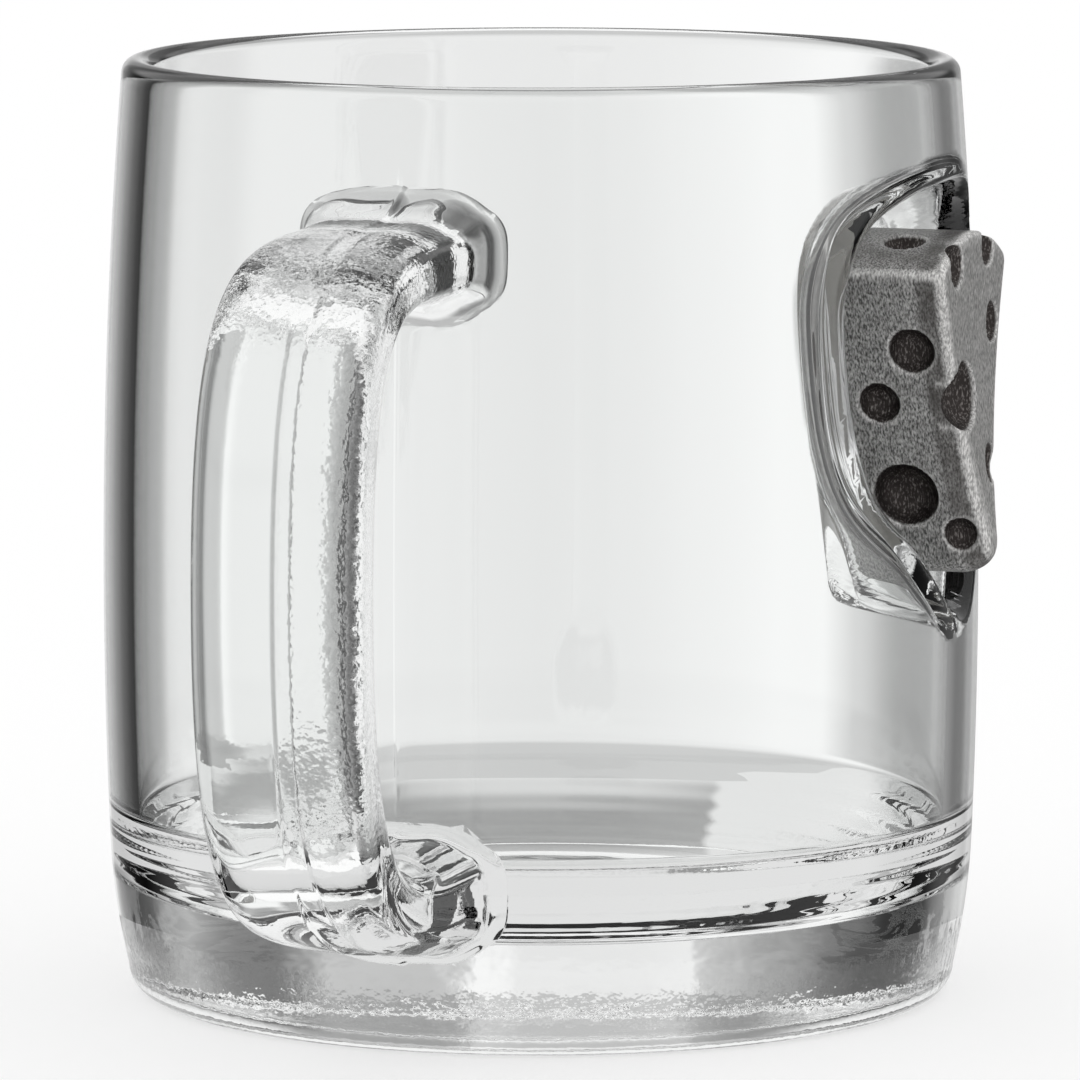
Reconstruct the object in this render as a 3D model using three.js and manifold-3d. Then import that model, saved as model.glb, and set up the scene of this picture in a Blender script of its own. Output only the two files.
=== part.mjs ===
// Glass coffee mug with a cast metal cheese wedge bonded into a pressed hollow of its wall.
// Millimetres, +Z up. The mug's axis is the Z axis and it stands on z = 0.
// The wedge looks along -Y and the handle stands out along -X.

import * as THREE from 'three';
import { mergeVertices } from 'three/addons/utils/BufferGeometryUtils.js';
import Module from 'manifold-3d';

const wasm = await Module();
wasm.setup();

// Vessel
const HEIGHT = 95.25;
const BELLY_R = 44.5;
const BELLY_Z = 42;
const RIM_DRAW_IN = 2.2;
const WALL = 3.0;
const FLOOR_Z = 10;
const BOWL_TOP = 19.9;
const BOWL_EDGE = 1.5;
const BOWL_SLOPE = 50;
const HEEL_R = 2.9;
const HEEL_DRAW_IN = 1.7;
const HEEL_RUN = 16;

// Foot ring under the base, which ends in the heel
const FOOT_W = 5;
const FOOT_H = 0.6;
const FOOT_DRAFT = 0.4;

// Handle: a pressed strap with a level upper arm, a bowed grip and a lower arm that dips to the wall
// Its half away from the wedge is flat and square, the half towards it is fuller and falls off from a ridge
const HANDLE_TOP_Z = 78.8;
const GRIP_Z = 49;
const HANDLE_LOW_Z = 16.5;
const FINGER_GAP = 28.1;
const TOP_ARM = 20;
const TOP_BOW = 32;
const LOW_BOW = 35;
const LOW_ARM = 16.5;
const LOW_DIP = 1.2;
const STRAP_W = 17.3;
const STRAP_T = 7.8;
const FLAT_SQUARE = 0.5;
const FLAT_FALL = 0.06;
const FULL_SQUARE = 0.78;
const FULL_FALL = 0.2;
const TOP_PAD_W = 18.8;
const TOP_PAD_T = 11.4;
const TOP_PAD_RUN = 3.5;
const LOW_PAD_W = 18.6;
const LOW_PAD_T = 11.4;
const LOW_PAD_RUN = 13;
const TOP_FILLET = 2.2;
const LOW_FILLET = 2.6;
const FUSE_GAP = 0.3;

// Wedge: outline and depth, tip down, arched rind on top, its nose lifted and rounded towards the face
const CREST_Z = 78.8;
const CORNER_Z = 74.9;
const CORNER_X = 9.9;
const CORNER_ROUND = 1.4;
const TIP_Z = 44.5;
const TIP_ROUND = 2.2;
const NOSE_LIFT = 3.6;
const NOSE_ROUND = 1.0;
const NOSE_RUN = 4.5;
const WEDGE_T = 11.7;
const FACE_LEAN = 3.1;
const FACE_SWEEP = 2.6;
const EDGE_BREAK = 0.6;

// Hollow pressed into the wall for the wedge: it runs out far towards the handle and little on the far side
const HOLLOW_D = 10.7;
const HOLLOW_MARGIN = 1.6;
const HOLLOW_SIDE = 15.5;
const HOLLOW_FAR = 8;
const HOLLOW_TOP = 10.5;
const HOLLOW_LOW = 11.5;
const HOLLOW_TURN = 25;
const HOLLOW_GLASS = 2.6;
const HOLLOW_SPREAD = 1.2;
const SEAT_GAP = 0.3;
const SEAT_SINK = 0.2;
const BOND_T = 0.4;
const BOND_INSET = 0.6;

// Holes of the cheese: depth of a dimple as a share of its width, then each group of dimples
const DIMPLE_DEPTH = 0.42;
const LEFT_FLANK_HOLES = [
  { fromAxis: 41.7, z: 67.5, width: 4.8 },
  { fromAxis: 37.9, z: 62.0, width: 4.3 },
  { fromAxis: 39.8, z: 52.5, width: 6.8 },
  { fromAxis: 45.2, z: 48.6, width: 3.6 },
];
const RIGHT_FLANK_HOLES = [
  { fromAxis: 39.2, z: 68.2, width: 5.4 },
  { fromAxis: 43.0, z: 61.0, width: 4.0 },
  { fromAxis: 39.8, z: 54.2, width: 4.6 },
];
const FACE_HOLES = [
  { x: -4.5, z: 62.9, width: 7.2 },
  { x: 6.0, z: 69.3, width: 4.3 },
  { x: 2.4, z: 55.4, width: 4.2 },
  { x: -6.4, z: 76.0, width: 4.6 },
  { x: 4.8, z: 77.2, width: 4.6 },
];
const RIND_HOLES = [
  { x: -5.2, fromAxis: 39.9, width: 4.3 },
  { x: 5.1, fromAxis: 38.6, width: 3.6 },
];

// Fineness of the skins: counts of steps, pitch of the strap's rings, and rings as shares of a run
const WELD = 1e-4;
const VESSEL_COLUMNS = 64;
const COLUMN_CROWD = 0.7;
const HEEL_STEPS = 5;
const RIM_STEPS = 6;
const EDGE_STEPS = 2;
const BOWL_STEPS = 6;
const PLAIN_ROWS = 4;
const END_ROWS = 5;
const MID_ROWS = 11;
const TIP_STEPS = 8;
const SHOULDER_STEPS = 4;
const RIND_STEPS = 12;
const STRAP_COLUMNS = 20;
const STRAP_PITCH = 4.6;
const ROOT_RINGS = [0, 1, 1.15, 1.3, 1.5, 1.9, 2.6];
const ROOT_COLUMNS = 96;
const ROOT_ROWS = 16;
const NOSE_RINGS = [1, 0.7, 0.4, 0.2];
const FACE_RINGS = [1, 0.66, 0.33];
const BALL_COLUMNS = 16;
const BALL_ROWS = 10;

// Shared working points
const RIM_Z = HEIGHT - WALL / 2;
const heelDraw = (z) => HEEL_DRAW_IN * (Math.max(0, HEEL_RUN - z) / HEEL_RUN) ** 2;
const wallR = (z) => BELLY_R - RIM_DRAW_IN * ((z - BELLY_Z) / (HEIGHT - BELLY_Z)) ** 2 - heelDraw(z);
const PANEL_Y = -(BELLY_R - HOLLOW_D);
const SEAT_Y = PANEL_Y + SEAT_SINK;
const WEDGE_BACK_Y = SEAT_Y - BOND_T;

function arc(cx, cz, r, from, to, steps) {
  const points = [];
  for (let i = 0; i <= steps; i += 1) {
    const a = from + (to - from) * (i / steps);
    points.push(new THREE.Vector2(cx + r * Math.cos(a), cz + r * Math.sin(a)));
  }
  return points;
}

// Closed solid from any geometry: positions only, welded, faces turned outward.
function solid(geometry) {
  const bare = new THREE.BufferGeometry();
  bare.setAttribute('position', geometry.getAttribute('position').clone());
  if (geometry.index) bare.setIndex(geometry.index.clone());
  const welded = mergeVertices(bare, WELD);
  const p = welded.getAttribute('position').array;
  const index = welded.index.array;
  const triangles = [];
  let volume = 0;
  for (let i = 0; i < index.length; i += 3) {
    const [a, b, c] = [index[i], index[i + 1], index[i + 2]];
    if (a === b || b === c || c === a) continue;
    triangles.push(a, b, c);
    const va = new THREE.Vector3().fromArray(p, a * 3);
    const vb = new THREE.Vector3().fromArray(p, b * 3);
    const vc = new THREE.Vector3().fromArray(p, c * 3);
    volume += va.dot(vb.cross(vc));
  }
  if (volume < 0) triangles.reverse();
  return new wasm.Manifold(new wasm.Mesh({
    numProp: 3,
    vertProperties: Float32Array.from(p),
    triVerts: Uint32Array.from(triangles),
  }));
}

function named(name, body, material) {
  const { vertProperties, triVerts } = body.getMesh();
  const geometry = new THREE.BufferGeometry();
  geometry.setAttribute('position', new THREE.BufferAttribute(Float32Array.from(vertProperties), 3));
  geometry.setIndex(new THREE.BufferAttribute(Uint32Array.from(triVerts), 1));
  geometry.computeVertexNormals();
  const mesh = new THREE.Mesh(geometry, material);
  mesh.name = name;
  return mesh;
}

// Skin through rings of equal point count, closed at both ends by fans.
function loft(rings) {
  const count = rings[0].length;
  const positions = [];
  for (const ring of rings) for (const v of ring) positions.push(v.x, v.y, v.z);
  const index = [];
  for (let k = 0; k + 1 < rings.length; k += 1) {
    for (let i = 0; i < count; i += 1) {
      const a = k * count + i;
      const b = k * count + (i + 1) % count;
      index.push(a, b, b + count, a, b + count, a + count);
    }
  }
  for (const [k, turn] of [[0, true], [rings.length - 1, false]]) {
    const hub = new THREE.Vector3();
    for (const v of rings[k]) hub.addScaledVector(v, 1 / count);
    const h = positions.length / 3;
    positions.push(hub.x, hub.y, hub.z);
    for (let i = 0; i < count; i += 1) {
      const a = k * count + i;
      const b = k * count + (i + 1) % count;
      if (turn) index.push(h, b, a);
      else index.push(h, a, b);
    }
  }
  const geometry = new THREE.BufferGeometry();
  geometry.setAttribute('position', new THREE.Float32BufferAttribute(positions, 3));
  geometry.setIndex(index);
  return geometry;
}

// Wedge outline in x and z: tip arc, corner arcs and rind arc, all grown by the same offset.
// The nose is the share by which the tip has gone over to its lifted, sharper form at the face.
const rise = CREST_Z - CORNER_Z;
const RIND_R = (CORNER_X ** 2 + rise ** 2 - CORNER_ROUND ** 2) / (2 * (rise - CORNER_ROUND));
const RIND_Z = CREST_Z - RIND_R;
const SHOULDER_A = Math.atan2(CORNER_Z - RIND_Z, CORNER_X);

function wedgeTip(nose) {
  const round = TIP_ROUND + (NOSE_ROUND - TIP_ROUND) * nose;
  const z = TIP_Z + NOSE_LIFT * nose + round;
  const flank = new THREE.Vector2(CORNER_X, CORNER_Z - z);
  return { round, z, angle: flank.angle() - Math.acos((round - CORNER_ROUND) / flank.length()) };
}

function wedgeOutline(offset, nose = 0) {
  const tip = wedgeTip(nose);
  const shoulder = CORNER_ROUND + offset;
  return [
    ...arc(0, tip.z, tip.round + offset, -Math.PI - tip.angle, tip.angle, TIP_STEPS),
    ...arc(CORNER_X, CORNER_Z, shoulder, tip.angle, SHOULDER_A, SHOULDER_STEPS),
    ...arc(0, RIND_Z, RIND_R + offset, SHOULDER_A, Math.PI - SHOULDER_A, RIND_STEPS).slice(1, -1),
    ...arc(-CORNER_X, CORNER_Z, shoulder, Math.PI - SHOULDER_A, Math.PI - tip.angle, SHOULDER_STEPS),
  ];
}

const wedgeRing = (offset, depth, nose = 0) => wedgeOutline(offset, nose)
  .map((p) => new THREE.Vector3(p.x, depth(p.y), p.y));

// Distance outside the wedge's outline, negative within it, and the way out from the outline's nearest point.
const border = wedgeOutline(0);
function beyondWedge(x, z) {
  let gap = Infinity;
  let inside = true;
  const out = new THREE.Vector2();
  for (let i = 0; i < border.length; i += 1) {
    const a = border[i];
    const b = border[(i + 1) % border.length];
    const [ex, ez] = [b.x - a.x, b.y - a.y];
    const along = ((x - a.x) * ex + (z - a.y) * ez) / (ex * ex + ez * ez);
    const t = Math.min(1, Math.max(0, along));
    const [dx, dz] = [x - a.x - ex * t, z - a.y - ez * t];
    const reach = Math.hypot(dx, dz);
    if (reach < gap) {
      gap = reach;
      out.set(dx, dz);
    }
    if (ex * (z - a.y) - ez * (x - a.x) < 0) inside = false;
  }
  return { gap: inside ? -gap : gap, out };
}

// How far the wall has gone over to the flat floor of the hollow: 1 on the floor, 0 beyond the lip.
// The inside of the glass is pressed over a wider patch, which keeps the slope about as thick as the wall.
// The slope's run is even along a flank and goes over to that of the top and of the low end by an ellipse.
// The lip is plain beside the flanks and fades out smoothly at both ends.
const WEDGE_Z = (CREST_Z + TIP_Z) / 2;
const flankTip = wedgeTip(0);
function pressed(x, z, spread) {
  const { gap, out } = beyondWedge(x, z);
  const rising = Math.atan2(out.y, Math.abs(out.x));
  const below = Math.max(0, flankTip.angle - rising) / THREE.MathUtils.degToRad(HOLLOW_TURN);
  const bend = rising > 0 ? rising : Math.min(1, below) * Math.PI / 2;
  const side = out.x < 0 ? HOLLOW_SIDE : HOLLOW_FAR;
  const end = rising > 0 ? HOLLOW_TOP : HOLLOW_LOW;
  const run = 1 / Math.hypot(Math.cos(bend) / side, Math.sin(bend) / end);
  const q = Math.min(1, Math.max(0, (gap - spread - HOLLOW_MARGIN) / (run - HOLLOW_MARGIN)));
  const lip = (1 - q) ** 2 * (1 + 2 * q);
  const fade = (1 - q) ** 3 * (1 + 3 * q + 6 * q ** 2);
  return lip + (fade - lip) * Math.sin(bend) ** 2;
}

// Vessel: one revolved skin, closer meshed on the wedge's side, then pressed in behind the wedge
function spaced(from, to, steps) {
  return Array.from({ length: steps + 1 }, (_, i) => from + (to - from) * (i / steps));
}

const pressRows = [
  ...spaced(TIP_Z - HOLLOW_LOW - HOLLOW_SPREAD, TIP_Z, END_ROWS),
  ...spaced(TIP_Z, CREST_Z, MID_ROWS).slice(1),
  ...spaced(CREST_Z, CREST_Z + HOLLOW_TOP + HOLLOW_SPREAD, END_ROWS).slice(1),
];
const heelX = wallR(HEEL_R) - HEEL_R;
const footIn = heelX - FOOT_W;
const outerRows = [...spaced(HEEL_R, pressRows[0], PLAIN_ROWS), ...pressRows.slice(1)];
const innerRows = [...spaced(BOWL_TOP, pressRows[0], PLAIN_ROWS), ...pressRows.slice(1)];

// Inner floor: a tight edge under the wall, then a round bowl down to the flat middle.
const slope = THREE.MathUtils.degToRad(BOWL_SLOPE);
const edgeX = wallR(BOWL_TOP) - WALL - BOWL_EDGE;
const bowlEdge = arc(edgeX, BOWL_TOP, BOWL_EDGE, 0, slope - Math.PI / 2, EDGE_STEPS);
const bowlStart = bowlEdge[EDGE_STEPS];
const bowlR = (bowlStart.y - FLOOR_Z) / (1 - Math.cos(slope));
const bowlX = bowlStart.x - bowlR * Math.sin(slope);
const bowl = arc(bowlX, FLOOR_Z + bowlR, bowlR, slope - Math.PI / 2, -Math.PI / 2, BOWL_STEPS);

const vesselProfile = [
  new THREE.Vector2(0, FOOT_H),
  new THREE.Vector2(footIn, FOOT_H),
  new THREE.Vector2(footIn + FOOT_DRAFT, 0),
  ...arc(heelX, HEEL_R, HEEL_R, -Math.PI / 2, 0, HEEL_STEPS).slice(0, -1),
  ...outerRows.map((z) => new THREE.Vector2(wallR(z), z)),
  ...arc(wallR(RIM_Z) - WALL / 2, RIM_Z, WALL / 2, 0, Math.PI, RIM_STEPS),
  ...innerRows.map((z) => new THREE.Vector2(wallR(z) - WALL, z)).reverse(),
  ...bowlEdge.slice(1),
  ...bowl.slice(1),
  new THREE.Vector2(0, FLOOR_Z),
];
const innerStart = vesselProfile.length - innerRows.length - EDGE_STEPS - BOWL_STEPS - 1;

const vessel = new THREE.LatheGeometry(vesselProfile, VESSEL_COLUMNS);
vessel.rotateX(Math.PI / 2);
const skin = vessel.getAttribute('position');
for (let i = 0; i < skin.count; i += 1) {
  const [x0, y0, z] = [skin.getX(i), skin.getY(i), skin.getZ(i)];
  const r = Math.hypot(x0, y0);
  const turn = Math.atan2(x0, -y0);
  const a = turn - COLUMN_CROWD * Math.sin(turn);
  const x = r * Math.sin(a);
  let y = -r * Math.cos(a);
  if (y < 0 && z > BOWL_TOP) {
    const within = i % vesselProfile.length >= innerStart;
    const floor = within ? PANEL_Y + HOLLOW_GLASS : PANEL_Y;
    y += (floor - y) * pressed(x, z, within ? HOLLOW_SPREAD : 0);
  }
  skin.setXYZ(i, x, y, z);
}

// Each square of the skin is split along its shorter diagonal, which keeps the slope of the hollow even.
const skinPoint = (i) => new THREE.Vector3().fromBufferAttribute(skin, i);
const span = (i, j) => skinPoint(i).distanceTo(skinPoint(j));
const split = [];
for (let column = 0; column < VESSEL_COLUMNS; column += 1) {
  for (let row = 0; row + 1 < vesselProfile.length; row += 1) {
    const a = column * vesselProfile.length + row;
    const b = a + vesselProfile.length;
    if (span(a, b + 1) < span(b, a + 1)) split.push(a, b, b + 1, a, b + 1, a + 1);
    else split.push(a, b, a + 1, b, b + 1, a + 1);
  }
}
vessel.setIndex(split);

const seatCut = loft([wedgeRing(SEAT_GAP, () => SEAT_Y), wedgeRing(SEAT_GAP, () => -2 * BELLY_R)]);
const glassBody = solid(vessel).subtract(solid(seatCut));

// Handle: strap section carried along two bows, spreading into a filleted pad at each root
const rootR = wallR(GRIP_Z);
const gripR = rootR + FINGER_GAP + STRAP_T / 2;
const outAt = (r, z) => new THREE.Vector3(-r, 0, z);
const handlePath = new THREE.CurvePath();
handlePath.add(new THREE.LineCurve3(outAt(rootR - WALL, HANDLE_TOP_Z), outAt(rootR, HANDLE_TOP_Z)));
handlePath.add(new THREE.CubicBezierCurve3(
  outAt(rootR, HANDLE_TOP_Z),
  outAt(rootR + TOP_ARM, HANDLE_TOP_Z),
  outAt(gripR, GRIP_Z + TOP_BOW),
  outAt(gripR, GRIP_Z),
));
handlePath.add(new THREE.CubicBezierCurve3(
  outAt(gripR, GRIP_Z),
  outAt(gripR, GRIP_Z - LOW_BOW),
  outAt(rootR + LOW_ARM, HANDLE_LOW_Z + LOW_DIP),
  outAt(rootR, HANDLE_LOW_Z),
));
handlePath.add(new THREE.LineCurve3(outAt(rootR, HANDLE_LOW_Z), outAt(rootR - WALL, HANDLE_LOW_Z)));

// Round of the melted joint: its own radius at the wall, nothing from that far out.
function fillet(clear, radius) {
  const q = 1 - Math.min(1, Math.max(0, clear) / radius);
  return radius * (1 - Math.sqrt(1 - q * q));
}

function strapRing(u) {
  const at = handlePath.getPointAt(u);
  const tangent = handlePath.getTangentAt(u);
  const across = new THREE.Vector3(0, 1, 0);
  const outward = new THREE.Vector3().crossVectors(across, tangent).normalize();
  const upper = at.z > GRIP_Z;
  const clear = Math.max(0, -at.x - wallR(at.z));
  const spread = Math.exp(-((clear / (upper ? TOP_PAD_RUN : LOW_PAD_RUN)) ** 2));
  const w = STRAP_W + ((upper ? TOP_PAD_W : LOW_PAD_W) - STRAP_W) * spread;
  const t = STRAP_T + ((upper ? TOP_PAD_T : LOW_PAD_T) - STRAP_T) * spread;
  const ring = [];
  for (let i = 0; i < STRAP_COLUMNS; i += 1) {
    const a = (2 * Math.PI * i) / STRAP_COLUMNS;
    const [square, fall] = Math.cos(a) > 0 ? [FLAT_SQUARE, FLAT_FALL] : [FULL_SQUARE, FULL_FALL];
    const cw = Math.sign(Math.cos(a)) * Math.abs(Math.cos(a)) ** square;
    const ct = Math.sign(Math.sin(a)) * Math.abs(Math.sin(a)) ** square * (1 - fall * Math.abs(cw));
    const aside = across.clone().multiplyScalar(cw * w / 2).addScaledVector(outward, ct * t / 2);
    const p = at.clone().add(aside);
    const off = Math.hypot(p.x, p.y) - wallR(p.z) - FUSE_GAP;
    ring.push(p.addScaledVector(aside.normalize(), fillet(off, upper ? TOP_FILLET : LOW_FILLET)));
  }
  return ring;
}

// Rings crowd at both roots, where the fillets are.
const pathLength = handlePath.getLength();
const rootRings = ROOT_RINGS.map((share) => share * WALL);
const gripEnd = rootRings[rootRings.length - 1];
const gripRings = spaced(gripEnd, pathLength - gripEnd, Math.ceil((pathLength - 2 * gripEnd) / STRAP_PITCH));
const strap = loft([
  ...rootRings,
  ...gripRings.slice(1, -1),
  ...rootRings.map((run) => pathLength - run).reverse(),
].map((run) => strapRing(run / pathLength)));
const rootCut = new THREE.LatheGeometry([
  new THREE.Vector2(0, -HEEL_R),
  ...spaced(-HEEL_R, HEIGHT + HEEL_R, ROOT_ROWS).map((z) => new THREE.Vector2(wallR(z) + FUSE_GAP, z)),
  new THREE.Vector2(0, HEIGHT + HEEL_R),
], ROOT_COLUMNS);
rootCut.rotateX(Math.PI / 2);
const handle = solid(strap).subtract(solid(rootCut));

// Wedge: lofted casting with a swept face, a rounded nose and broken edges, then dimpled
const frontY = (z) => {
  const down = Math.max(0, CREST_Z - z) / (CREST_Z - TIP_Z);
  return WEDGE_BACK_Y - WEDGE_T - FACE_LEAN * down ** FACE_SWEEP;
};

// Ring behind the face: the nose is fully lifted at the face and gone a nose run behind it.
function noseRing(behind, offset) {
  const q = 1 - Math.min(1, behind / NOSE_RUN);
  return wedgeRing(offset, (z) => frontY(z) + behind, 1 - Math.sqrt(1 - q * q));
}

// Ring drawn in towards the middle of the face, on the swept face itself.
function faceRing(share) {
  return wedgeOutline(-EDGE_BREAK, 1).map((p) => {
    const z = WEDGE_Z + (p.y - WEDGE_Z) * share;
    return new THREE.Vector3(p.x * share, frontY(z), z);
  });
}

const casting = solid(loft([
  wedgeRing(-EDGE_BREAK / 2, () => WEDGE_BACK_Y),
  wedgeRing(0, () => WEDGE_BACK_Y - EDGE_BREAK / 2),
  ...NOSE_RINGS.map((share) => noseRing(NOSE_RUN * share, 0)),
  noseRing(EDGE_BREAK / 3, -EDGE_BREAK / 3),
  ...FACE_RINGS.map(faceRing),
]));

// Ball that leaves a round dimple of the given width in a face.
function dimple(point, outward, width) {
  const depth = DIMPLE_DEPTH * width;
  const r = (width ** 2 / 4 + depth ** 2) / (2 * depth);
  const centre = point.clone().addScaledVector(outward, r - depth);
  return solid(new THREE.SphereGeometry(r, BALL_COLUMNS, BALL_ROWS).translate(centre.x, centre.y, centre.z));
}

const FLANK_OUT = new THREE.Vector3(Math.cos(flankTip.angle), 0, Math.sin(flankTip.angle));

function flankHole(side, { fromAxis, z, width }) {
  const up = z - flankTip.z - flankTip.round * FLANK_OUT.z;
  const x = flankTip.round * FLANK_OUT.x - up * FLANK_OUT.z / FLANK_OUT.x;
  const outward = FLANK_OUT.clone().setX(side * FLANK_OUT.x);
  return dimple(new THREE.Vector3(side * x, -fromAxis, z), outward, width);
}

function faceHole({ x, z, width }) {
  return dimple(new THREE.Vector3(x, frontY(z), z), new THREE.Vector3(0, -1, 0), width);
}

function rindHole({ x, fromAxis, width }) {
  const outward = new THREE.Vector3(x, 0, Math.sqrt(RIND_R ** 2 - x ** 2)).normalize();
  const foot = new THREE.Vector3(0, -fromAxis, RIND_Z).addScaledVector(outward, RIND_R);
  return dimple(foot, outward, width);
}

const holes = [
  ...LEFT_FLANK_HOLES.map((hole) => flankHole(-1, hole)),
  ...RIGHT_FLANK_HOLES.map((hole) => flankHole(1, hole)),
  ...FACE_HOLES.map(faceHole),
  ...RIND_HOLES.map(rindHole),
];
const wedge = holes.reduce((body, hole) => body.subtract(hole), casting);

// Bond: flat film of cured resin between the seat and the back of the wedge
const bond = solid(loft([
  wedgeRing(-BOND_INSET, () => SEAT_Y),
  wedgeRing(-BOND_INSET, () => WEDGE_BACK_Y),
]));

const glass = new THREE.MeshStandardMaterial({ color: 0xe6ecec, roughness: 0.05, metalness: 0 });
const pressedGlass = new THREE.MeshStandardMaterial({ color: 0xdfe6e6, roughness: 0.12, metalness: 0 });
const pewter = new THREE.MeshStandardMaterial({ color: 0x8f8b86, roughness: 0.42, metalness: 1 });
const resin = new THREE.MeshStandardMaterial({ color: 0xd9d8cf, roughness: 0.25, metalness: 0 });

const mug = new THREE.Group();
mug.name = 'coffee_mug';
mug.add(
  named('glass_body', glassBody, glass),
  named('handle', handle, pressedGlass),
  named('cheese_insert', wedge, pewter),
  named('adhesive_bed', bond, resin),
);

export default mug;
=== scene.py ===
import bpy
import numpy as np
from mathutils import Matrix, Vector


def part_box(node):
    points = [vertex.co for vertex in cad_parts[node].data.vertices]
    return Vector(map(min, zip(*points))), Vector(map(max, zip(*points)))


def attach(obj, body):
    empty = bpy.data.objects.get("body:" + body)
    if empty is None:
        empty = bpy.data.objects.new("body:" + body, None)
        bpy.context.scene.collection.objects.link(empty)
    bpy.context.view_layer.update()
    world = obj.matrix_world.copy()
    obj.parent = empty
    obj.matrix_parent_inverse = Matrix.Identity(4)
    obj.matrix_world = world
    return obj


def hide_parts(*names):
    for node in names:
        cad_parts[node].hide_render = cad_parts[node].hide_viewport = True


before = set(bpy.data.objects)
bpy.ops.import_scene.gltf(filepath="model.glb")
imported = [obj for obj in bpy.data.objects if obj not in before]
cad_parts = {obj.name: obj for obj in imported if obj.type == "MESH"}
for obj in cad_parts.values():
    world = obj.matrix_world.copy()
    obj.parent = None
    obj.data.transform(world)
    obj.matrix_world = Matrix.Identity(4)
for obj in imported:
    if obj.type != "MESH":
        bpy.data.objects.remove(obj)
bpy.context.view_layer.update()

# Vessel. Pressed and blown soda-lime glass with a fire-polished rim, a heavy base and a low foot ring.
# One side of the hot wall was pushed in to a flat floor, so a smooth lip runs round the casting's place.
# Sizes are in mm until a mesh is made.
MM = 0.001
WALL = 3.0
BELLY_Z = 42.0
RIM_DRAW_IN = 2.2
FLOOR_Z = 10.0
BOWL_TOP = 19.9
BOWL_EDGE = 1.5
BOWL_SLOPE = 50.0
RIPPLE = 0.05
RIPPLE_PITCH = 2.6
HEEL_R = 2.9
HEEL_DRAW_IN = 1.7
HEEL_RUN = 16.0
FOOT_W = 5.0
FOOT_H = 0.6
FOOT_EASE = 0.5
PEBBLE_H = 0.02
PEBBLE_PITCH = (2.0, 4.0)
PEBBLE_WAVES = 16
PEBBLED_TO = 33.5
SEAM_H = 0.07
SEAM_W = 0.22
SEAM_FROM = 22.0
SEAM_SWELL = 0.8
SEAM_SWELL_Z = (80.0, 86.0)

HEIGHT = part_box("glass_body")[1][2] / MM
BELLY_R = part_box("glass_body")[1][0] / MM


def wall_radius(z):
    """Outer radius at height z: a parabola, widest at the belly, and a second one that draws in the heel."""
    heel = HEEL_DRAW_IN * (np.maximum(0, HEEL_RUN - z) / HEEL_RUN) ** 2
    return BELLY_R - RIM_DRAW_IN * ((z - BELLY_Z) / (HEIGHT - BELLY_Z)) ** 2 - heel


def arc(cx, cz, radius, start, end, count):
    """Points on a circle from one angle (degrees) to another."""
    a = np.radians(np.linspace(start, end, count))
    return np.stack([cx + radius * np.cos(a), cz + radius * np.sin(a)], axis=1)


def ease(low, high, value):
    """Smooth step: 0 up to low, 1 from high on."""
    t = np.clip((value - low) / (high - low), 0, 1)
    return t * t * (3 - 2 * t)


# The casting's outline in x and z, which the hollow follows: tip down, arched rind on top.
CREST_Z = 78.8
CORNER_Z = 74.9
CORNER_X = 9.9
CORNER_ROUND = 1.4
TIP_Z = 44.5
TIP_ROUND = 2.2
NOSE_LIFT = 3.6
NOSE_ROUND = 1.0

MIDDLE_Z = (CREST_Z + TIP_Z) / 2
rise = CREST_Z - CORNER_Z
RIND_R = (CORNER_X ** 2 + rise ** 2 - CORNER_ROUND ** 2) / (2 * (rise - CORNER_ROUND))
RIND_Z = CREST_Z - RIND_R
SHOULDER_A = np.degrees(np.arctan2(CORNER_Z - RIND_Z, CORNER_X))


def wedge_tip(nose):
    """Round, centre height and flank angle of the tip, which rises and sharpens as nose goes from 0 to 1."""
    tip_round = TIP_ROUND + (NOSE_ROUND - TIP_ROUND) * nose
    tip_z = TIP_Z + NOSE_LIFT * nose + tip_round
    run, up = CORNER_X, CORNER_Z - tip_z
    turn = np.arctan2(up, run) - np.arccos((tip_round - CORNER_ROUND) / np.hypot(run, up))
    return tip_round, tip_z, np.degrees(turn)


def wedge_outline(offset, nose=0.0, side=90):
    """Closed outline grown by offset: tip arc, flank, corner arc, rind arc, corner arc, flank."""
    tip_round, tip_z, turn = wedge_tip(nose)
    tip = arc(0, tip_z, tip_round + offset, -180 - turn, turn, 41)
    right = arc(CORNER_X, CORNER_Z, CORNER_ROUND + offset, turn, SHOULDER_A, 17)
    rind = arc(0, RIND_Z, RIND_R + offset, SHOULDER_A, 180 - SHOULDER_A, 71)
    left = arc(-CORNER_X, CORNER_Z, CORNER_ROUND + offset, 180 - SHOULDER_A, 180 - turn, 17)
    along = np.linspace(0, 1, side + 2)[1:-1, None]
    up = tip[-1] + (right[0] - tip[-1]) * along
    down = left[-1] + (tip[0] - left[-1]) * along
    return np.concatenate([tip, up, right, rind[1:-1], left, down])


HOLLOW_D = 10.7
HOLLOW_MARGIN = 1.6
HOLLOW_GLASS = 2.6
HOLLOW_SPREAD = 1.3
SEAT_SOFTEN = 2
LIP_SOFTEN = 7
LIP_STEEP = 1.4
PANEL_Y = -(BELLY_R - HOLLOW_D)
# Where the hollow's slope ends, in x and z: a lip towards the handle, a long run-out below, a short far side.
LIP = np.array([
    (0, 38.6), (-5, 42.4), (-10.5, 47), (-14.5, 49.6), (-17.5, 52), (-19.3, 55), (-20.8, 60), (-21.5, 65),
    (-22, 70), (-22.2, 76), (-17.5, 81.2), (-11.5, 83.3), (-5, 84.2), (0, 84.5), (7, 83.8), (12, 81.5),
    (15, 77), (14.5, 71), (12.5, 62), (10, 53), (7.5, 46), (4, 40.5),
])


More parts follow.
